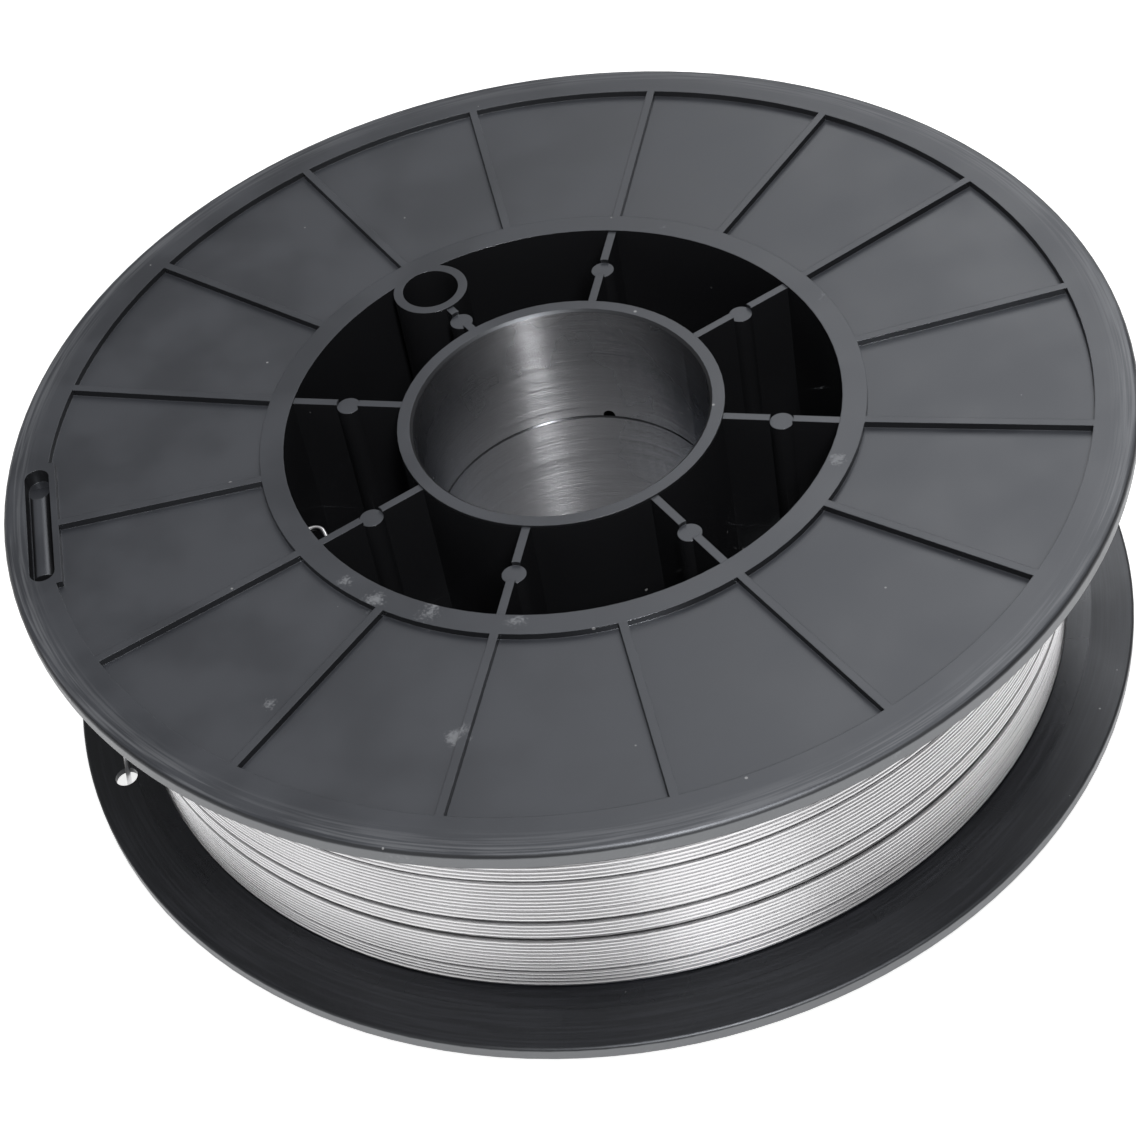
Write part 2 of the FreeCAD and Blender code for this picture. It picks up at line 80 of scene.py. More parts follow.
# The wide and the fine gaps that show between turns: after which turn, how wide and how much the
# turns above drift, both in millimetres, and the angle from which the drift swings.
TURN_GAPS = [
    ("first turn", 1.03, 0.12, 0.00, 0),
    ("low", 4.05, 0.34, 0.00, 0),
    ("low hairline", 9.10, 0.10, 0.00, 0),
    ("wide", 13.02, 1.25, 0.16, 70),
    ("next to wide", 17.06, 0.76, -0.16, 70),
    ("middle hairline", 20.05, 0.16, 0.00, 0),
    ("upper", 28.08, 0.46, 0.10, 200),
    ("upper hairline", 31.03, 0.16, -0.05, 200),
    ("high", 32.06, 0.20, -0.05, 200),
    ("higher", 37.04, 0.20, 0.00, 0),
    ("top", 42.07, 0.30, 0.00, 0),
]

# Faces of the plastic: where each begins and where it is fully reached, in millimetres. Radii are
# from the bore's axis and heights from the spool's middle.
EDGE_RADII = (99.3, 99.7)
RIM_RADII = (92.0, 92.5)
RIM_WEAR_RADII = (94.5, 98.8)
INNER_FACE_RADII = (52.5, 53.5)
BORE_MOUTH_RADII = (29.6, 29.4)
BORE_WALL_RADII = (27.1, 26.9)
OUTER_HEIGHTS = (24.5, 24.8)
INNER_HEIGHTS = (24.8, 24.5)
BORE_MOUTH_HEIGHTS = (25.8, 26.2)
# The same for how level a face is: 1 is level and 0 upright.
OUTER_LEVELS = (0.74, 0.90)
INNER_LEVELS = (0.80, 0.95)
EDGE_LEVELS = (0.45, 0.15)
BORE_LEVELS = (0.50, 0.20)

# Marks on the plastic
# A small half-round notch in the bore, just above the joint, 43.7 degrees round, whose shade is painted
# black.
BORE_MARK = (19.16 * MM, 18.31 * MM, 27.9 * MM)
BORE_MARK_REACH = (1.25 * MM, 1.05 * MM)
# The joint cuts the mark off. These two ranges are heights above the floor, in millimetres.
BORE_MARK_HEIGHTS = (27.5, 27.6)
BORE_PAINTED_SHEEN_HEIGHTS = (44.0, 28.0)
# Where the hub's ring and the faces beside it are rubbed pale: x, y and reach, in millimetres.
RUBBED_PLACES = [(-51.0, -11.0, 4.0), (-49.5, -18.5, 6.0), (-43.8, -27.0, 6.5), (-34.2, -38.2, 5.0),
                 (51.8, -8.0, 5.0), (28.2, -42.8, 4.0), (-74.0, -26.5, 4.0), (-54.5, -53.0, 5.0),
                 (43.0, 29.5, 3.5)]

# Colours
SATIN_DARK = (0.0158, 0.0168, 0.0198, 1.0)
SATIN_PALE = (0.0212, 0.0225, 0.0263, 1.0)
RIM_WORN = (0.066, 0.068, 0.073, 1.0)
HUB_INSIDE = (0.0055, 0.0056, 0.0062, 1.0)
# The bore's wall is metallic with a pale tone that paints its sheen, paler lower down as a painted
# reflection of the floor.
BORE_PAINTED_SHEEN_UPPER = (0.098, 0.098, 0.102, 1.0)
BORE_PAINTED_SHEEN_LOWER = (0.135, 0.135, 0.140, 1.0)
# The faces between the flanges: nearly black, with paler rings round the spool painted as sheen.
INNER_FACE_DARK = (0.0020, 0.0021, 0.0026, 1.0)
INNER_FACE_PAINTED_SHEEN = (0.0065, 0.0067, 0.0082, 1.0)
BORE_NOTCH_PAINTED_SHADE = (0.001, 0.001, 0.001, 1.0)
# The flanges' upright edge band is made paler.
EDGE_BAND_PALE = (0.105, 0.108, 0.112, 1.0)
EDGE_CHIPPED = (0.10, 0.105, 0.112, 1.0)
RUBBED_PALE = (0.19, 0.195, 0.205, 1.0)
DUST_GREY = (0.26, 0.26, 0.26, 1.0)
PLASTIC_SHEEN = (0.90, 0.935, 1.0, 1.0)
WIRE_BRIGHT = (0.81, 0.805, 0.815, 1.0)
WIRE_DULL = (0.72, 0.715, 0.725, 1.0)
# The layer below is the same wire in darker colours: painted shade in the gaps.
WIRE_BELOW_PAINTED_SHADE_BRIGHT = (0.45, 0.45, 0.455, 1.0)
WIRE_BELOW_PAINTED_SHADE_DULL = (0.30, 0.30, 0.305, 1.0)
# The core behind the gaps is painted dark as shade, darker still between the turns.
CORE_PAINTED_SHADE_DARK = (0.05, 0.05, 0.052, 1.0)
CORE_PAINTED_SHADE_PALE = (0.32, 0.32, 0.32, 1.0)
FLOOR_DIM = (0.86, 0.86, 0.86, 1.0)
FLOOR_PALE = (0.90, 0.90, 0.90, 1.0)
FLOOR_LIT = (1.0, 1.0, 1.0, 1.0)
# Painted shadow: the floor's glow is turned off under the spool.
FLOOR_PAINTED_SHADOW = (0.02, 0.02, 0.02, 1.0)

# The floor glows in the bore and round the spool. Between these radii, in millimetres, it doesn't, which
# paints a shadow under the spool.
FLOOR_PAINTED_SHADOW_FROM = (27.0, 30.0)
FLOOR_PAINTED_SHADOW_TO = (88.0, 84.0)

# Studio panels: name, azimuth, elevation, width, height and radiance
PANEL_DISTANCE = 1.3
STUDIO_PANELS = [
    ("rear_panel", 38, 51, 0.72, 0.98, 3.15),
    ("front_panel", 258, 20, 0.66, 0.80, 1.4),
    ("left_panel", 188, 20, 1.08, 0.80, 0.55),
]
ROOM_LIGHT = 0.27


def feed(tree, socket, value):
    """Links an output to the socket, or sets the socket's own value."""
    if isinstance(value, bpy.types.NodeSocket):
        tree.links.new(value, socket)
    else:
        socket.default_value = value


def place(tree, kind, inputs=None, **settings):
    """A new node with its settings and its inputs, by name or number."""
    node = tree.nodes.new(kind)
    for name, value in settings.items():
        setattr(node, name, value)
    for name, value in (inputs or {}).items():
        feed(tree, node.inputs[name], value)
    return node


def number_math(tree, operation, *values, clamp=False):
    node = place(tree, "ShaderNodeMath", dict(enumerate(values)), operation=operation, use_clamp=clamp)
    return node.outputs[0]


def vector_math(tree, operation, *values):
    node = place(tree, "ShaderNodeVectorMath", dict(enumerate(values)), operation=operation)
    return node.outputs["Value" if operation in ("DOT_PRODUCT", "LENGTH", "DISTANCE") else "Vector"]


def product(tree, *values):
    """All the values multiplied together."""
    result = values[0]
    for value in values[1:]:
        result = number_math(tree, "MULTIPLY", result, value)
    return result


def total(tree, *values):
    """All the values added together."""
    result = values[0]
    for value in values[1:]:
        result = number_math(tree, "ADD", result, value)
    return result


def ramp(tree, value, low, high, to_low=0.0, to_high=1.0):
    """The value carried smoothly from one range to another, held at its ends."""
    node = place(tree, "ShaderNodeMapRange",
                 {"Value": value, "From Min": low, "From Max": high, "To Min": to_low, "To Max": to_high},
                 interpolation_type="SMOOTHSTEP", clamp=True)
    return node.outputs["Result"]


def noise(tree, where, scale, detail, **more):
    inputs = {"Vector": where, "Scale": scale, "Detail": detail}
    inputs.update(more)
    return place(tree, "ShaderNodeTexNoise", inputs).outputs["Fac"]


def blend_colours(tree, share, first, second):
    node = place(tree, "ShaderNodeMix", {"Factor": share}, data_type="RGBA")
    feed(tree, node.inputs[6], first)
    feed(tree, node.inputs[7], second)
    return node.outputs[2]


def split_height(tree, where):
    """A point's place seen along the spool's axis, and its height."""
    parts = place(tree, "ShaderNodeSeparateXYZ", {"Vector": where}).outputs
    flat = place(tree, "ShaderNodeCombineXYZ", {"X": parts["X"], "Y": parts["Y"]}).outputs[0]
    return flat, parts["Z"]


def new_group(name, inputs, outputs):
    """An empty shader group with named sockets."""
    group = bpy.data.node_groups.new(name, "ShaderNodeTree")
    for socket_name, kind, value in inputs:
        socket = group.interface.new_socket(socket_name, in_out="INPUT", socket_type=kind)
        if value is not None:
            socket.default_value = value
    for socket_name, kind in outputs:
        group.interface.new_socket(socket_name, in_out="OUTPUT", socket_type=kind)
    return group, group.nodes.new("NodeGroupInput").outputs, group.nodes.new("NodeGroupOutput").inputs


def use_group(tree, group, inputs):
    """The group's outputs for these inputs."""
    node = tree.nodes.new("ShaderNodeGroup")
    node.node_tree = group
    for name, value in inputs.items():
        feed(tree, node.inputs[name], value)
    return node.outputs


def make_spool_place_group():
    """Where a point lies on the spool: its radius, its way round and its height, in millimetres."""
    group, given, out = new_group(
        "place_on_spool", [("Vector", "NodeSocketVector", None)],
        [("Radius", "NodeSocketFloat"), ("Around", "NodeSocketVector"), ("Height", "NodeSocketFloat")])
    flat, height = split_height(group, given["Vector"])
    feed(group, out["Radius"], number_math(group, "DIVIDE", vector_math(group, "LENGTH", flat), MM))
    feed(group, out["Around"], vector_math(group, "NORMALIZE", flat))
    feed(group, out["Height"], number_math(group, "DIVIDE", height, MM))
    return group


def make_grain_group():
    """Fine moulded grain with a soft unevenness under it, as one height."""
    group, given, out = new_group(
        "moulded_grain",
        [("Vector", "NodeSocketVector", None), ("Grain Scale", "NodeSocketFloat", 2500.0),
         ("Wave Scale", "NodeSocketFloat", 60.0), ("Wave Share", "NodeSocketFloat", 0.5)],
        [("Height", "NodeSocketFloat"), ("Cloud", "NodeSocketFloat")])
    grain = noise(group, given["Vector"], given["Grain Scale"], 2.0)
    wave = noise(group, given["Vector"], given["Wave Scale"], 3.0)
    feed(group, out["Height"], total(group, grain, product(group, wave, given["Wave Share"])))
    feed(group, out["Cloud"], wave)
    return group


def make_rub_group():
    """Pale rub marks and short scratches: patches of broken streaks."""
    patch_weight = 0.62
    mark_weight = 0.52
    level_unrubbed = 0.86
    level_drop = 0.34
    sharpness = 9.0
    group, given, out = new_group(
        "rub_marks",
        [("Vector", "NodeSocketVector", None), ("Patch Scale", "NodeSocketFloat", 30.0),
         ("Mark Scale", "NodeSocketFloat", 600.0), ("Amount", "NodeSocketFloat", 0.5)],
        [("Mask", "NodeSocketFloat")])
    patch = noise(group, given["Vector"], given["Patch Scale"], 2.0)
    marks = noise(group, given["Vector"], given["Mark Scale"], 4.0, Roughness=0.65, Distortion=0.6)
    level = number_math(group, "SUBTRACT", level_unrubbed, product(group, given["Amount"], level_drop))
    both = total(group, product(group, patch, patch_weight), product(group, marks, mark_weight))
    over = number_math(group, "SUBTRACT", both, level)
    feed(group, out["Mask"], number_math(group, "MULTIPLY", over, sharpness, clamp=True))
    return group


def make_dust_group():
    """Single specks of dust, thinly spread."""
    chosen_cells = (0.82, 1.0)
    sharpness = 60.0
    group, given, out = new_group(
        "dust_specks",
        [("Vector", "NodeSocketVector", None), ("Scale", "NodeSocketFloat", 260.0),
         ("Size", "NodeSocketFloat", 0.10)],
        [("Mask", "NodeSocketFloat")])
    cells = place(group, "ShaderNodeTexVoronoi", {"Vector": given["Vector"], "Scale": given["Scale"]},
                  feature="F1").outputs
    chance = place(group, "ShaderNodeSeparateColor", {"Color": cells["Color"]}).outputs["Red"]
    reach = product(group, given["Size"], ramp(group, chance, *chosen_cells))
    inside = number_math(group, "SUBTRACT", reach, cells["Distance"])
    feed(group, out["Mask"], number_math(group, "MULTIPLY", inside, sharpness, clamp=True))
    return group


def make_edge_group():
    """Softly rounded edges, how far a point lies on such an edge, and how level the face is."""
    edge_likeness = (0.995, 0.86)
    group, given, out = new_group(
        "moulded_edges", [("Radius", "NodeSocketFloat", 0.2 * MM)],
        [("Normal", "NodeSocketVector"), ("Edge", "NodeSocketFloat"), ("Level", "NodeSocketFloat")])
    rounded = place(group, "ShaderNodeBevel", {"Radius": given["Radius"]}, samples=3).outputs["Normal"]
    face = place(group, "ShaderNodeNewGeometry").outputs["Normal"]
    likeness = vector_math(group, "DOT_PRODUCT", rounded, face)
    upright = split_height(group, face)[1]
    feed(group, out["Normal"], rounded)
    feed(group, out["Edge"], ramp(group, likeness, *edge_likeness))
    feed(group, out["Level"], number_math(group, "ABSOLUTE", upright))
    return group


def make_turned_line_group():
    """Fine lines left by the turned mould: they tilt the surface across the turn, never along it."""
    group, given, out = new_group(
        "turned_lines",
        [("Vector", "NodeSocketVector", None), ("Normal", "NodeSocketVector", None),
         ("Lines per Millimetre", "NodeSocketFloat", 9.0), ("Depth", "NodeSocketFloat", 0.1)],
        [("Normal", "NodeSocketVector")])
    flat, height = split_height(group, given["Vector"])
    along = vector_math(group, "NORMALIZE", vector_math(group, "CROSS_PRODUCT", (0.0, 0.0, 1.0), flat))
    across = vector_math(group, "CROSS_PRODUCT", given["Normal"], along)
    reach = total(group, vector_math(group, "LENGTH", flat), height)
    line = product(group, number_math(group, "DIVIDE", reach, MM), given["Lines per Millimetre"])
    groove = place(group, "ShaderNodeTexWhiteNoise", {"W": number_math(group, "FLOOR", line)},
                   noise_dimensions="1D").outputs["Value"]
    tilt = product(group, number_math(group, "SUBTRACT", groove, 0.5),
                   product(group, given["Depth"], 2.0))
    tilted = place(group, "ShaderNodeVectorMath", {0: across, "Scale": tilt}, operation="SCALE")
    leaning = vector_math(group, "ADD", given["Normal"], tilted.outputs["Vector"])
    feed(group, out["Normal"], vector_math(group, "NORMALIZE", leaning))
    return group


def new_material(name):
    """A material with its tree, its shader's inputs and the place on the piece."""
    material = bpy.data.materials.new(name)
    material.use_nodes = True
    tree = material.node_tree
    tree.nodes.clear()
    surface = tree.nodes.new("ShaderNodeBsdfPrincipled")
    output = tree.nodes.new("ShaderNodeOutputMaterial")
    tree.links.new(surface.outputs["BSDF"], output.inputs["Surface"])
    coordinates = tree.nodes.new("ShaderNodeTexCoord")
    return material, tree, surface.inputs, coordinates.outputs["Object"]


def near_places(tree, here, places):
    """A mask that is 1 at the middle of each place and 0 at its reach, seen along the spool's axis."""
    flat = split_height(tree, here)[0]
    mask = 0.0
    for x, y, reach in places:
        gap = vector_math(tree, "DISTANCE", flat, (x * MM, y * MM, 0.0))
        mask = number_math(tree, "MAXIMUM", mask, ramp(tree, gap, reach * MM, 0.0))
    return mask


def find_faces(tree, spot, level):
    """A mask for each kind of face, from its radius, its height and how level it is."""
    radius = spot["Radius"]
    from_middle = number_math(tree, "ABSOLUTE",
                              number_math(tree, "SUBTRACT", spot["Height"], MID_HEIGHT / MM))
    return {
        "outer": product(tree, ramp(tree, from_middle, *OUTER_HEIGHTS), ramp(tree, level, *OUTER_LEVELS)),
        "edge": product(tree, ramp(tree, radius, *EDGE_RADII), ramp(tree, level, *EDGE_LEVELS)),
        "bore": product(tree, ramp(tree, radius, *BORE_WALL_RADII), ramp(tree, level, *BORE_LEVELS)),
        "inner": product(tree, ramp(tree, radius, *INNER_FACE_RADII), ramp(tree, level, *INNER_LEVELS),
                         ramp(tree, from_middle, *INNER_HEIGHTS)),
        "rim": ramp(tree, radius, *RIM_RADII),
        "mouth": product(tree, ramp(tree, radius, *BORE_MOUTH_RADII),
                         ramp(tree, from_middle, *BORE_MOUTH_HEIGHTS)),
    }


def find_rubs(tree, groups, here, faces):
    """Where the plastic is rubbed pale: a little on all outer faces, more on edges and where handled."""
    rubbed_anywhere = 0.10
    rubbed_edge = 0.55
    handled = near_places(tree, here, RUBBED_PLACES)
    amount = total(tree, product(tree, faces["outer"], total(tree, rubbed_anywhere, handled)),
                   product(tree, faces["edge"], rubbed_edge))
    return use_group(tree, groups["rubs"], {"Vector": here, "Patch Scale": 130.0, "Mark Scale": 1500.0,
                                            "Amount": amount})["Mask"]


def find_ring_streaks(tree, spot):
    """Streaks that run round the spool, narrow across and long along."""
    streaks_round = 5.0
    streaks_per_millimetre = 2.2
    around = place(tree, "ShaderNodeSeparateXYZ", {"Vector": spot["Around"]}).outputs
    where = place(tree, "ShaderNodeCombineXYZ",
                  {"X": product(tree, around["X"], streaks_round),
                   "Y": product(tree, around["Y"], streaks_round),
                   "Z": product(tree, spot["Radius"], streaks_per_millimetre)}).outputs[0]
    return ramp(tree, noise(tree, where, 1.0, 4.0), 0.40, 0.65)


def find_bore_mark(tree, here, spot, faces):
    """The mask of a small half-round notch in the bore, cut off at the joint; its shade is painted black.
    """
    gap = vector_math(tree, "DISTANCE", here, BORE_MARK)
    return product(tree, ramp(tree, gap, *BORE_MARK_REACH), faces["bore"],
                   ramp(tree, spot["Height"], *BORE_MARK_HEIGHTS))


def colour_plastic(tree, spot, cloud, faces, streaks, mark):
    """The plastic's tones: satin outside and nearly black inside, with painted light in three places: a
    pale metallic tone down the bore's wall that paints its sheen, paler lower down as a painted reflection
    of the floor; paler rings painted as sheen on the faces between the flanges; and the shade of the bore's
    small notch painted black.
    """
    rim_wear_share = 0.8
    satin = blend_colours(tree, ramp(tree, cloud, 0.35, 0.65), SATIN_DARK, SATIN_PALE)
    rim_wear = product(tree, streaks, faces["outer"], ramp(tree, spot["Radius"], *RIM_WEAR_RADII),
                       rim_wear_share)
    outside = blend_colours(tree, rim_wear, satin, RIM_WORN)
    # Painted sheen on the bore's wall, paler lower down as a painted reflection of the floor.
    bore = blend_colours(tree, ramp(tree, spot["Height"], *BORE_PAINTED_SHEEN_HEIGHTS), BORE_PAINTED_SHEEN_UPPER, BORE_PAINTED_SHEEN_LOWER)
    hub = blend_colours(tree, faces["bore"], HUB_INSIDE, bore)
    # Paler rings on the faces between the flanges, painted as sheen.
    painted_sheen_bands = blend_colours(tree, streaks, INNER_FACE_DARK, INNER_FACE_PAINTED_SHEEN)
    inside = blend_colours(tree, faces["inner"], hub, painted_sheen_bands)
    # The notch's shade, painted black.
    marked = blend_colours(tree, mark, inside, BORE_NOTCH_PAINTED_SHADE)
    return blend_colours(tree, faces["outer"], marked, outside)


def wear_plastic(tree, groups, here, faces, edge, rubs, clean):
    """The clean colour with the flanges' upright edge band made paler, chipped edges, rubs and dust."""
    edge_band_share = 0.85
    chip_share = 0.45
    rub_share = 0.45
    dust_share = 0.5
    # The flanges' upright edge band, made paler.
    pale_edge_band = blend_colours(tree, product(tree, faces["edge"], edge_band_share), clean, EDGE_BAND_PALE)
    chips = ramp(tree, noise(tree, here, 900.0, 3.0), 0.42, 0.62)
    chipped = blend_colours(tree, product(tree, edge, chips, faces["outer"], chip_share), pale_edge_band,
                            EDGE_CHIPPED)
    rubbed = blend_colours(tree, product(tree, rubs, rub_share), chipped, RUBBED_PALE)
    dust = use_group(tree, groups["dust"], {"Vector": here, "Scale": 240.0, "Size": 0.085})["Mask"]
    return blend_colours(tree, product(tree, dust, dust_share), rubbed, DUST_GREY)


def roughen_plastic(tree, cloud, faces, rubs):
    """Satin outside and round the rim, glossier inside, and duller where it is rubbed."""
    cloud_range = (0.3, 0.7)
    satin_range = (0.36, 0.46)
    gloss_range = (0.13, 0.20)
    bore_matt = 0.5
    inner_matt = 0.4
    rub_matt = 0.2
    satin = ramp(tree, cloud, *cloud_range, *satin_range)
    gloss = ramp(tree, cloud, *cloud_range, *gloss_range)
    matt = total(tree, product(tree, faces["bore"], bore_matt), product(tree, faces["inner"], inner_matt))
    for face in ("outer", "rim", "mouth"):
        matt = number_math(tree, "MAXIMUM", matt, faces[face])
    finish = place(tree, "ShaderNodeMix", {"Factor": matt, "A": gloss, "B": satin}).outputs[0]
    return number_math(tree, "ADD", finish, product(tree, rubs, rub_matt), clamp=True)


def raise_plastic(tree, groups, here, faces, rounded, grain, rubs, mark):
    """The normal of the fine relief: rounded edges, turned lines, the bore's mark, grain and rubs."""
    line_depth = 0.004
    bore_line_depth = 1.1
    inner_line_depth = 0.08
    mark_depth = 2.5
    smooth_bore = 0.8
    rub_height = 0.6
    turned = total(tree, product(tree, faces["bore"], bore_line_depth),
                   product(tree, faces["inner"], inner_line_depth))
    lined = use_group(tree, groups["lines"], {"Vector": here, "Normal": rounded,
                                              "Lines per Millimetre": 300.0,
                                              "Depth": total(tree, line_depth, turned)})["Normal"]
    mark_tilt = place(tree, "ShaderNodeCombineXYZ", {"Z": product(tree, mark, mark_depth)}).outputs[0]
    marked = vector_math(tree, "NORMALIZE", vector_math(tree, "ADD", lined, mark_tilt))
    grain_left = number_math(tree, "SUBTRACT", 1.0, product(tree, faces["bore"], smooth_bore))
    relief = total(tree, product(tree, grain, grain_left), product(tree, rubs, rub_height))
    return place(tree, "ShaderNodeBump", {"Strength": 0.35, "Distance": 0.02 * MM, "Height": relief,
                                          "Normal": marked}).outputs["Normal"]


def make_spool_plastic(groups):
    """Dark grey moulded plastic: satin on the outer faces, glossier inside, with pale rubs on the ring."""
    material, tree, surface, here = new_material("dark_moulded_plastic")
    spot = use_group(tree, groups["place"], {"Vector": here})
    grain = use_group(tree, groups["grain"], {"Vector": here, "Grain Scale": 2600.0, "Wave Scale": 55.0,
                                              "Wave Share": 0.8})
    edges = use_group(tree, groups["edges"], {"Radius": 0.2 * MM})
    faces = find_faces(tree, spot, edges["Level"])
    rubs = find_rubs(tree, groups, here, faces)
    mark = find_bore_mark(tree, here, spot, faces)
    clean = colour_plastic(tree, spot, grain["Cloud"], faces, find_ring_streaks(tree, spot), mark)
    feed(tree, surface["Base Color"], wear_plastic(tree, groups, here, faces, edges["Edge"], rubs, clean))
    feed(tree, surface["Roughness"], roughen_plastic(tree, grain["Cloud"], faces, rubs))
    feed(tree, surface["Normal"],
         raise_plastic(tree, groups, here, faces, edges["Normal"], grain["Height"], rubs, mark))
    feed(tree, surface["Metallic"], faces["bore"])
    surface["IOR"].default_value = 1.54
    surface["Specular Tint"].default_value = PLASTIC_SHEEN
    return material


def make_bright_wire(name, bright, dull, roughness):
    """Bright drawn wire with fine streaks along it."""
    streaks_per_metre = 14.3
    streaks_round = 9.0
    streak_weight = 0.6
    stain_weight = 0.4
    material, tree, surface, here = new_material(name)
    run = place(tree, "ShaderNodeAttribute", attribute_name="wire_run").outputs["Fac"]
    way = place(tree, "ShaderNodeAttribute", attribute_name="wire_round").outputs["Fac"]
    streak_place = place(tree, "ShaderNodeCombineXYZ", {"X": product(tree, run, streaks_per_metre),
                                                        "Y": product(tree, way, streaks_round)})
    streaks = noise(tree, streak_place.outputs[0], 1.0, 3.0)
    stain = noise(tree, here, 70.0, 3.0)
    tone = total(tree, product(tree, streaks, streak_weight), product(tree, stain, stain_weight))
    feed(tree, surface["Base Color"], blend_colours(tree, ramp(tree, tone, 0.36, 0.62), dull, bright))
    feed(tree, surface["Roughness"], ramp(tree, streaks, 0.3, 0.7, roughness - 0.03, roughness + 0.05))
    bump = place(tree, "ShaderNodeBump", {"Strength": 0.12, "Distance": 0.01 * MM, "Height": streaks})
    feed(tree, surface["Normal"], bump.outputs["Normal"])
    surface["Metallic"].default_value = 1.0
    return material


def make_core_painted_shade():
    """The deeper layers of wire, seen only behind the gaps: a ground painted dark as their shade, darker
    still between the turns as painted crease shade.
    """
    material, tree, surface, here = new_material("deep_layers_painted_shade")
    height = split_height(tree, here)[1]
    turns = number_math(tree, "SINE", product(tree, height, 2 * math.pi / TURN_PITCH))
    feed(tree, surface["Base Color"],
         blend_colours(tree, ramp(tree, turns, -1.0, 1.0), CORE_PAINTED_SHADE_DARK, CORE_PAINTED_SHADE_PALE))
    bump = place(tree, "ShaderNodeBump", {"Strength": 0.6, "Distance": 0.3 * MM, "Height": turns})
    feed(tree, surface["Normal"], bump.outputs["Normal"])
    feed(tree, surface["Roughness"], ramp(tree, turns, -1.0, 1.0, 0.6, 0.4))
    surface["Metallic"].default_value = 1.0
    return material


def make_floor_finish():
    """The white table: lit from below round the spool and in its bore, with a shadow painted under the
    flange where it does not glow.
    """
    material, tree, surface, here = new_material("pale_floor")
    flat = split_height(tree, here)[0]
    reach = number_math(tree, "DIVIDE", vector_math(tree, "LENGTH", flat), MM)
    painted_shadow = product(tree, ramp(tree, reach, *FLOOR_PAINTED_SHADOW_FROM), ramp(tree, reach, *FLOOR_PAINTED_SHADOW_TO))
    feed(tree, surface["Emission Color"], blend_colours(tree, painted_shadow, FLOOR_LIT, FLOOR_PAINTED_SHADOW))
    feed(tree, surface["Base Color"],
         blend_colours(tree, noise(tree, here, 3.0, 2.0), FLOOR_DIM, FLOOR_PALE))
    surface["Roughness"].default_value = 0.75
    surface["Emission Strength"].default_value = 0.82
    return material


def gap_rise(tree, given, name, turn, angle):
    """How far one gap lifts the turns: nothing below it, its width above, drifting round the coil."""
    after = given["Gap %s after turn" % name]
    opened = ramp(tree, turn, number_math(tree, "SUBTRACT", after, STEP_SHARE),
                  total(tree, after, STEP_SHARE))
    way_round = number_math(tree, "SUBTRACT", angle, given["Gap %s drift angle" % name])
    swing = number_math(tree, "SINE", product(tree, 2.0, way_round))
    width = total(tree, given["Gap %s width" % name], product(tree, given["Gap %s drift" % name], swing))
    return product(tree, opened, width)


def wander(tree, given, where):
    """A small random departure along the wire, as large as the layer is uneven."""
    wave = place(tree, "ShaderNodeTexNoise", {"W": where, "Scale": 1.0}, noise_dimensions="1D")
    return product(tree, given["Unevenness"], number_math(tree, "SUBTRACT", wave.outputs["Fac"], 0.5))


def keep_on_points(tree, geometry, name, value):
    """The geometry with a value kept on its points, where the wire's finish reads it."""
    return place(tree, "GeometryNodeStoreNamedAttribute",
                 {"Geometry": geometry, "Name": name, "Value": value},
                 data_type="FLOAT", domain="POINT").outputs["Geometry"]


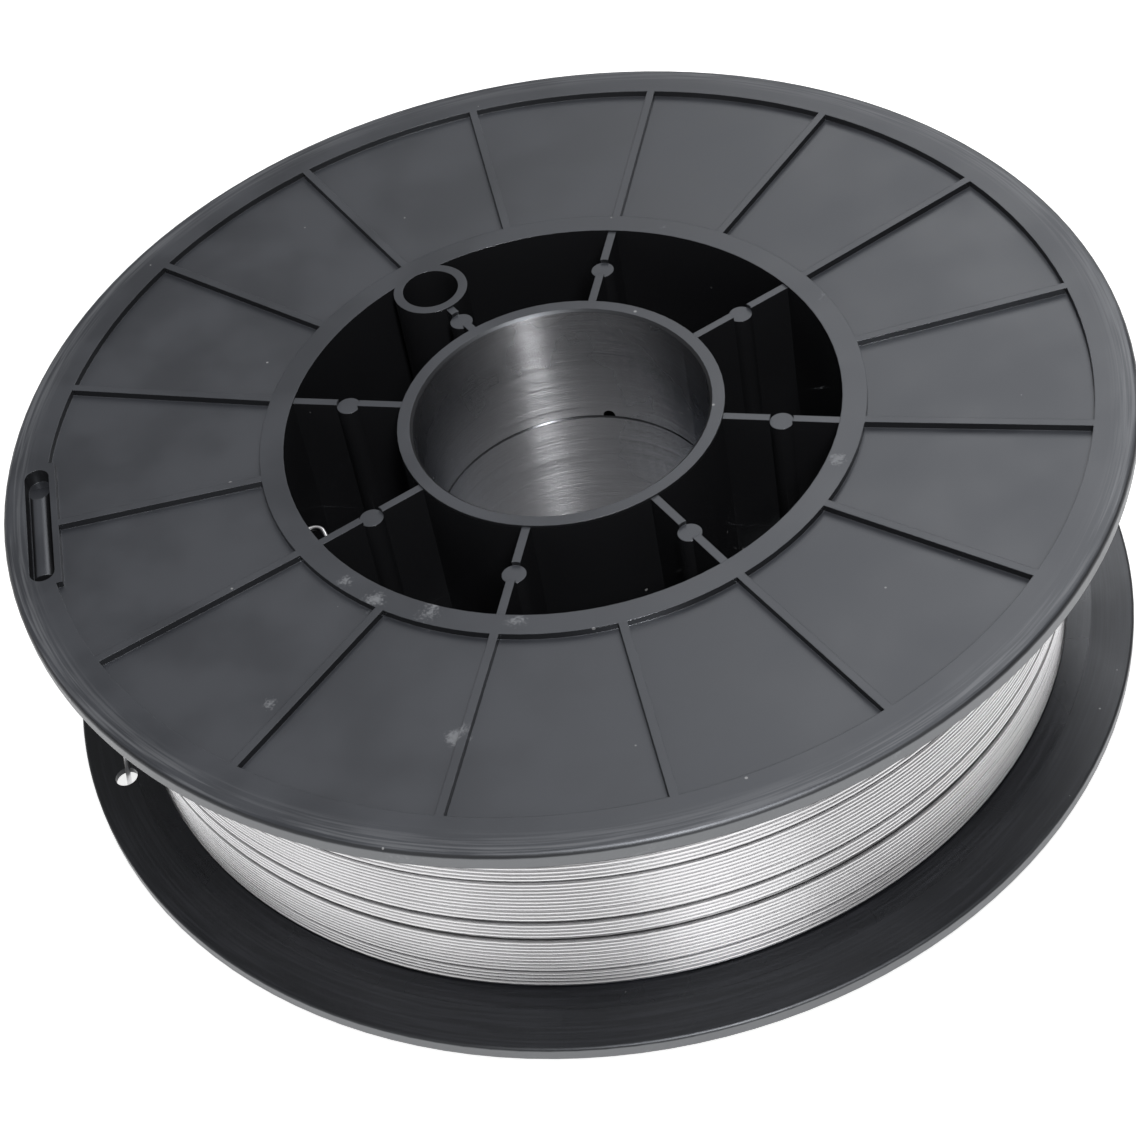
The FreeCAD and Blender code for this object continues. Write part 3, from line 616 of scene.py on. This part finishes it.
def make_winding_tree(gaps):
    """A tree that winds one layer of wire: a helix whose turns step apart at each gap."""
    height_waves_per_turn = 2.3
    radius_waves_per_turn = 3.1
    tree = bpy.data.node_groups.new("winding", "GeometryNodeTree")
    tree.interface.new_socket("Geometry", in_out="OUTPUT", socket_type="NodeSocketGeometry")
    sockets = {}

    def new_input(name, kind="NodeSocketFloat"):
        sockets[name] = tree.interface.new_socket(name, in_out="INPUT", socket_type=kind).identifier

    for name in ("Layer Radius", "Lowest Turn", "Pitch", "Turns", "Wire Radius", "Hand", "Start Angle",
                 "Unevenness"):
        new_input(name)
    for name in ("Steps per Turn", "Sides", "Seed"):
        new_input(name, "NodeSocketInt")
    new_input("Finish", "NodeSocketMaterial")
    for name, *_ in gaps:
        for part in ("after turn", "width", "drift", "drift angle"):
            new_input("Gap %s %s" % (name, part))
    given = tree.nodes.new("NodeGroupInput").outputs

    count = total(tree, 1.0, product(tree, given["Turns"], given["Steps per Turn"]))
    line = place(tree, "GeometryNodeCurvePrimitiveLine", {"End": (1.0, 0.0, 0.0)})
    points = place(tree, "GeometryNodeResampleCurve", {"Curve": line.outputs["Curve"], "Count": count})
    index = place(tree, "GeometryNodeInputIndex").outputs[0]
    turn = number_math(tree, "DIVIDE", index, given["Steps per Turn"])
    angle = total(tree, given["Start Angle"],
                  product(tree, given["Hand"], product(tree, turn, 2 * math.pi)))
    height = total(tree, given["Lowest Turn"], product(tree, turn, given["Pitch"]))
    for name, *_ in gaps:
        height = total(tree, height, gap_rise(tree, given, name, turn, angle))
    height = total(tree, height, wander(tree, given, product(tree, turn, height_waves_per_turn)))
    radius_wave = total(tree, product(tree, turn, radius_waves_per_turn), given["Seed"])
    radius = total(tree, given["Layer Radius"], wander(tree, given, radius_wave))
    spot = place(tree, "ShaderNodeCombineXYZ",
                 {"X": product(tree, radius, number_math(tree, "COSINE", angle)),
                  "Y": product(tree, radius, number_math(tree, "SINE", angle)),
                  "Z": height})
    helix = place(tree, "GeometryNodeSetPosition",
                  {"Geometry": points.outputs["Curve"], "Position": spot.outputs[0]})
    circle = place(tree, "GeometryNodeCurvePrimitiveCircle",
                   {"Resolution": given["Sides"], "Radius": given["Wire Radius"]})
    run = keep_on_points(tree, helix.outputs["Geometry"], "wire_run",
                         place(tree, "GeometryNodeSplineParameter").outputs["Length"])
    section = keep_on_points(tree, circle.outputs["Curve"], "wire_round",
                             place(tree, "GeometryNodeSplineParameter").outputs["Factor"])
    tube = place(tree, "GeometryNodeCurveToMesh",
                 {"Curve": run, "Profile Curve": section, "Fill Caps": True})
    smooth = place(tree, "GeometryNodeSetShadeSmooth", {"Geometry": tube.outputs["Mesh"]})
    real = place(tree, "GeometryNodeRealizeInstances", {"Geometry": smooth.outputs["Geometry"]})
    finish = place(tree, "GeometryNodeSetMaterial",
                   {"Geometry": real.outputs["Geometry"], "Material": given["Finish"]})
    result = tree.nodes.new("NodeGroupOutput")
    tree.links.new(finish.outputs["Geometry"], result.inputs["Geometry"])
    return tree, sockets


def link_piece(name, mesh):
    piece = bpy.data.objects.new(name, mesh)
    bpy.context.scene.collection.objects.link(piece)
    return piece


def plain_mesh(piece, name):
    """The evaluated piece as a mesh with nothing live on it."""
    graph = bpy.context.evaluated_depsgraph_get()
    mesh = bpy.data.meshes.new_from_object(piece.evaluated_get(graph))
    mesh.name = name
    return mesh


def wind_layer(name, tree, sockets, finish, gaps, sizes):
    """One wound layer as a plain mesh."""
    carrier = link_piece(name + "_carrier", bpy.data.meshes.new(name + "_carrier"))
    modifier = carrier.modifiers.new("winding", "NODES")
    modifier.node_group = tree
    for size_name, value in sizes.items():
        modifier[sockets[size_name]] = value
    modifier[sockets["Finish"]] = finish
    for gap, after, width, drift, drift_angle in gaps:
        modifier[sockets["Gap %s after turn" % gap]] = after
        modifier[sockets["Gap %s width" % gap]] = width * MM
        modifier[sockets["Gap %s drift" % gap]] = drift * MM
        modifier[sockets["Gap %s drift angle" % gap]] = math.radians(drift_angle)
    mesh = plain_mesh(carrier, name)
    carrier.modifiers.remove(modifier)
    bpy.data.objects.remove(carrier)
    return link_piece(name, mesh)


def turn_ring(name, outline, steps, finish):
    """A closed turned ring from an outline of (radius, height) pairs, listed anticlockwise."""
    count = len(outline)
    verts = []
    for step in range(steps):
        angle = 2 * math.pi * step / steps
        verts += [(r * math.cos(angle), r * math.sin(angle), z) for r, z in outline]
    faces = []
    for step in range(steps):
        here = step * count
        there = ((step + 1) % steps) * count
        for corner in range(count):
            after = (corner + 1) % count
            faces.append((here + corner, there + corner, there + after, here + after))
    mesh = bpy.data.meshes.new(name)
    mesh.from_pydata(verts, [], faces)
    mesh.materials.append(finish)
    mesh.shade_smooth()
    mesh.set_sharp_from_angle(angle=math.radians(40))
    return link_piece(name, mesh)


def round_corner(before, corner, after, radius, steps):
    """Points of the arc that rounds one corner of a path."""
    back = (before - corner).normalized()
    on = (after - corner).normalized()
    half = back.angle(on) / 2
    centre = corner + (back + on).normalized() * (radius / math.sin(half))
    first = corner + back * (radius / math.tan(half)) - centre
    last = corner + on * (radius / math.tan(half)) - centre
    sweep = first.angle(last)
    points = []
    for step in range(steps + 1):
        share = step / steps
        points.append(centre + (first * math.sin((1 - share) * sweep) + last * math.sin(share * sweep))
                      / math.sin(sweep))
    return points


def draw_wire(name, points, finish):
    """A round wire along the points, with closed ends, as a plain mesh."""
    curve = bpy.data.curves.new(name + "_line", "CURVE")
    curve.dimensions = "3D"
    curve.bevel_depth = WIRE_RADIUS
    curve.bevel_resolution = 3
    curve.use_fill_caps = True
    spline = curve.splines.new("POLY")
    spline.points.add(len(points) - 1)
    for target, point in zip(spline.points, points):
        target.co = (*point, 1.0)
    spline.use_smooth = True
    carrier = bpy.data.objects.new(name + "_line", curve)
    bpy.context.scene.collection.objects.link(carrier)
    mesh = plain_mesh(carrier, name)
    bpy.data.objects.remove(carrier)
    mesh.materials.clear()
    mesh.materials.append(finish)
    mesh.shade_smooth()
    return link_piece(name, mesh)


def finish_piece(piece, slot, *nodes):
    """Puts the piece on the spool's body and hides the nodes that it stands for; the slot is not used."""
    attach(piece, BODY)
    if nodes:
        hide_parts(*nodes)


def dress_halves(plastic):
    """The moulded halves keep their shapes and get the plastic's finish."""
    for node in HALVES:
        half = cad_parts[node]
        if not half.material_slots:
            half.data.materials.append(plastic)
        for slot in half.material_slots:
            slot.material = plastic


def make_coil(wire, under_wire_painted_shade, core):
    """The wound wire: an outer layer turn by turn, the layer below it and the core behind both, these two
    painted darker as their shade.
    """
    tree, sockets = make_winding_tree(TURN_GAPS)
    outer_radius = COIL_RADIUS - WIRE_RADIUS
    lowest = coil_low.z - TURNS_BELOW_RING + WIRE_RADIUS
    room = coil_high.z - WIRE_RADIUS - lowest
    gap_total = sum(width for _, _, width, _, _ in TURN_GAPS) * MM
    outer = {"Layer Radius": outer_radius, "Lowest Turn": lowest, "Pitch": TURN_PITCH,
             "Turns": float(math.floor((room - gap_total) / TURN_PITCH)), "Wire Radius": WIRE_RADIUS,
             "Hand": 1.0, "Start Angle": math.radians(STEP_AZIMUTH), "Unevenness": 0.05 * MM,
             "Steps per Turn": 144, "Sides": 8, "Seed": 3}
    under = dict(outer)
    under.update({"Layer Radius": outer_radius - LAYER_STEP, "Hand": -1.0,
                  "Turns": float(math.floor(room / TURN_PITCH)), "Unevenness": 0.03 * MM,
                  "Steps per Turn": 96, "Sides": 6, "Seed": 8})
    closed = [(name, after, 0.0, 0.0, 0.0) for name, after, *_ in TURN_GAPS]
    top_layer = wind_layer("coil_outer_turns", tree, sockets, wire, TURN_GAPS, outer)
    under_layer = wind_layer("coil_under_turns", tree, sockets, under_wire_painted_shade, closed, under)
    core_radius = COIL_RADIUS - 2 * WIRE_RADIUS - LAYER_STEP
    core_low = coil_low.z + WIRE_RADIUS
    core_high = coil_high.z - WIRE_RADIUS
    outline = [(COIL_BORE_RADIUS, core_low), (core_radius, core_low),
               (core_radius, core_high), (COIL_BORE_RADIUS, core_high)]
    ring = turn_ring("coil_core", outline, 128, core)
    finish_piece(top_layer, WIRE_SLOT, "wire_coil")
    finish_piece(under_layer, WIRE_SLOT)
    finish_piece(ring, WIRE_SLOT)


def make_wire_tail(wire):
    """The outer end: it lifts off the last layer, leaves on a tangent and drops, bowed, through the rim."""
    wrap = math.radians(64)
    wrap_steps = 48
    lift_speed = 4.0
    sunk = WIRE_RADIUS * 1.7
    climb = 0.6 * MM
    bend_radius = 3.0 * MM
    bend_steps = 10
    bow = 2.3 * MM
    bow_steps = 16
    foot_gap = 0.3 * MM
    low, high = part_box("wire_tail")
    hole = Vector((low.x + WIRE_RADIUS, high.y - WIRE_RADIUS, 0.0))
    height = high.z - WIRE_RADIUS
    leave_radius = COIL_RADIUS + WIRE_RADIUS
    leave_angle = math.atan2(hole.y, hole.x) + math.acos(leave_radius / hole.length)
    points = []
    for step in range(wrap_steps + 1):
        left = 1 - step / wrap_steps
        angle = leave_angle + wrap * left
        rise = min(1.0, (1 - left) * lift_speed)
        radius = leave_radius - sunk * (1 - rise * rise * (3 - 2 * rise))
        points.append(Vector((radius * math.cos(angle), radius * math.sin(angle), height - climb * left)))
    top = Vector((hole.x, hole.y, height))
    foot = Vector((hole.x, hole.y, low.z + foot_gap))
    points += round_corner(points[-1], top, foot, bend_radius, bend_steps)
    bend_end = points[-1]
    inward = Vector((-hole.x, -hole.y, 0.0)).normalized()
    for step in range(1, bow_steps):
        share = step / bow_steps
        points.append(bend_end.lerp(foot, share) + inward * (bow * math.sin(math.pi * share)))
    points.append(foot)
    finish_piece(draw_wire("wire_outer_end", points, wire), WIRE_SLOT, "wire_tail")


def make_wire_start(wire):
    """The inner end: it comes in through the barrel and is bent over towards a spoke."""
    azimuth = math.radians(169.0)
    barrel_reach = 52.0 * MM
    elbow_reach = 46.6 * MM
    hook_length = 7.2 * MM
    bend_radius = 1.8 * MM
    bend_steps = 10
    low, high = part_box("wire_start")
    out = Vector((math.cos(azimuth), math.sin(azimuth), 0.0))
    side = Vector((-math.sin(azimuth), math.cos(azimuth), 0.0))
    level = Vector((0.0, 0.0, (low.z + high.z) / 2))
    outer = out * barrel_reach + level
    elbow = out * elbow_reach + level
    tip = elbow + side * hook_length
    points = [outer] + round_corner(outer, elbow, tip, bend_radius, bend_steps) + [tip]
    finish_piece(draw_wire("wire_inner_end", points, wire), WIRE_SLOT, "wire_start")


def make_floor(finish):
    """A square of table just below the spool."""
    half = 4.0
    drop = 0.05 * MM
    corners = [(-half, -half, 0.0), (half, -half, 0.0), (half, half, 0.0), (-half, half, 0.0)]
    mesh = bpy.data.meshes.new("floor")
    mesh.from_pydata(corners, [], [(0, 1, 2, 3)])
    mesh.materials.append(finish)
    floor = link_piece("floor", mesh)
    floor.location.z = cad_low.z - drop


def towards_light(azimuth, elevation):
    a, e = math.radians(azimuth), math.radians(elevation)
    return Vector((math.cos(a) * math.cos(e), math.sin(a) * math.cos(e), math.sin(e)))


def make_panel_light(name, azimuth, elevation, distance, width, height, glow):
    """A soft rectangular light that faces the spool from an azimuth and elevation; glow is its radiance."""
    light = bpy.data.lights.new(name, "AREA")
    light.shape = "RECTANGLE"
    light.size = width
    light.size_y = height
    light.energy = glow * math.pi * width * height
    lamp = bpy.data.objects.new(name, light)
    towards = towards_light(azimuth, elevation)
    lamp.location = Vector((0.0, 0.0, MID_HEIGHT)) + towards * distance
    lamp.rotation_euler = towards.to_track_quat("Z", "Y").to_euler()
    bpy.context.scene.collection.objects.link(lamp)
    return lamp


def make_hub_strip():
    """A narrow strip lamp that lights only the plastic and leaves the upright sheen on the bore's wall."""
    lamp = make_panel_light("hub_strip", azimuth=258, elevation=57, distance=1.2, width=0.14,
                            height=0.66, glow=68.0)
    halves = bpy.data.collections.new("moulded_halves")
    for node in HALVES:
        halves.objects.link(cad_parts[node])
    lamp.light_linking.receiver_collection = halves


def light_studio():
    """Soft panels around a white table, as fitted to the tones of the plastic and of the wire."""
    for name, azimuth, elevation, width, height, glow in STUDIO_PANELS:
        make_panel_light(name, azimuth, elevation, PANEL_DISTANCE, width, height, glow)
    make_hub_strip()
    world = bpy.data.worlds.new("studio")
    world.use_nodes = True
    background = world.node_tree.nodes["Background"]
    background.inputs["Color"].default_value = (1.0, 1.0, 1.0, 1.0)
    background.inputs["Strength"].default_value = ROOM_LIGHT
    bpy.context.scene.world = world
    bpy.context.scene.view_settings.view_transform = "Standard"


def set_camera():
    """The photograph's view: its focal length, its tilt and where the spool sits in the frame."""
    photo_side = 1136.0
    focal_pixels = 2569.77
    sensor_width = 36.0
    distance = 472.443 * MM
    elevation = math.radians(45.110)
    roll = math.radians(-11.140)
    azimuth = math.radians(-25.645)
    aside, above = -2.193 * MM, -9.835 * MM
    right = Vector((math.cos(azimuth), math.sin(azimuth), 0.0))
    flat_back = Vector((math.sin(azimuth), -math.cos(azimuth), 0.0))
    back = flat_back * math.cos(elevation) + Vector((0.0, 0.0, math.sin(elevation)))
    up = Vector((0.0, 0.0, math.cos(elevation))) - flat_back * math.sin(elevation)
    frame_right = right * math.cos(roll) + up * math.sin(roll)
    frame_up = up * math.cos(roll) - right * math.sin(roll)
    camera = bpy.data.objects.new("camera", bpy.data.cameras.new("camera"))
    camera.data.sensor_width = sensor_width
    camera.data.lens = sensor_width * focal_pixels / photo_side
    camera.data.clip_start = 0.01
    camera.location = (Vector((0.0, 0.0, MID_HEIGHT)) + back * distance + frame_right * aside
                       + frame_up * above)
    turn = camera.matrix_world.to_3x3()
    turn.col[0], turn.col[1], turn.col[2] = frame_right, frame_up, back
    camera.rotation_euler = turn.to_euler()
    bpy.context.scene.collection.objects.link(camera)
    bpy.context.scene.camera = camera


groups = {"place": make_spool_place_group(), "grain": make_grain_group(), "rubs": make_rub_group(),
          "dust": make_dust_group(), "edges": make_edge_group(), "lines": make_turned_line_group()}
plastic = make_spool_plastic(groups)
wire = make_bright_wire("bright_drawn_wire", WIRE_BRIGHT, WIRE_DULL, 0.27)
# The same wire in darker colours, painted as the shade of the layer below.
under_wire_painted_shade = make_bright_wire("wire_below_painted_shade", WIRE_BELOW_PAINTED_SHADE_BRIGHT, WIRE_BELOW_PAINTED_SHADE_DULL, 0.30)

dress_halves(plastic)
make_coil(wire, under_wire_painted_shade, make_core_painted_shade())
make_wire_tail(wire)
make_wire_start(wire)
make_floor(make_floor_finish())
light_studio()
set_camera()
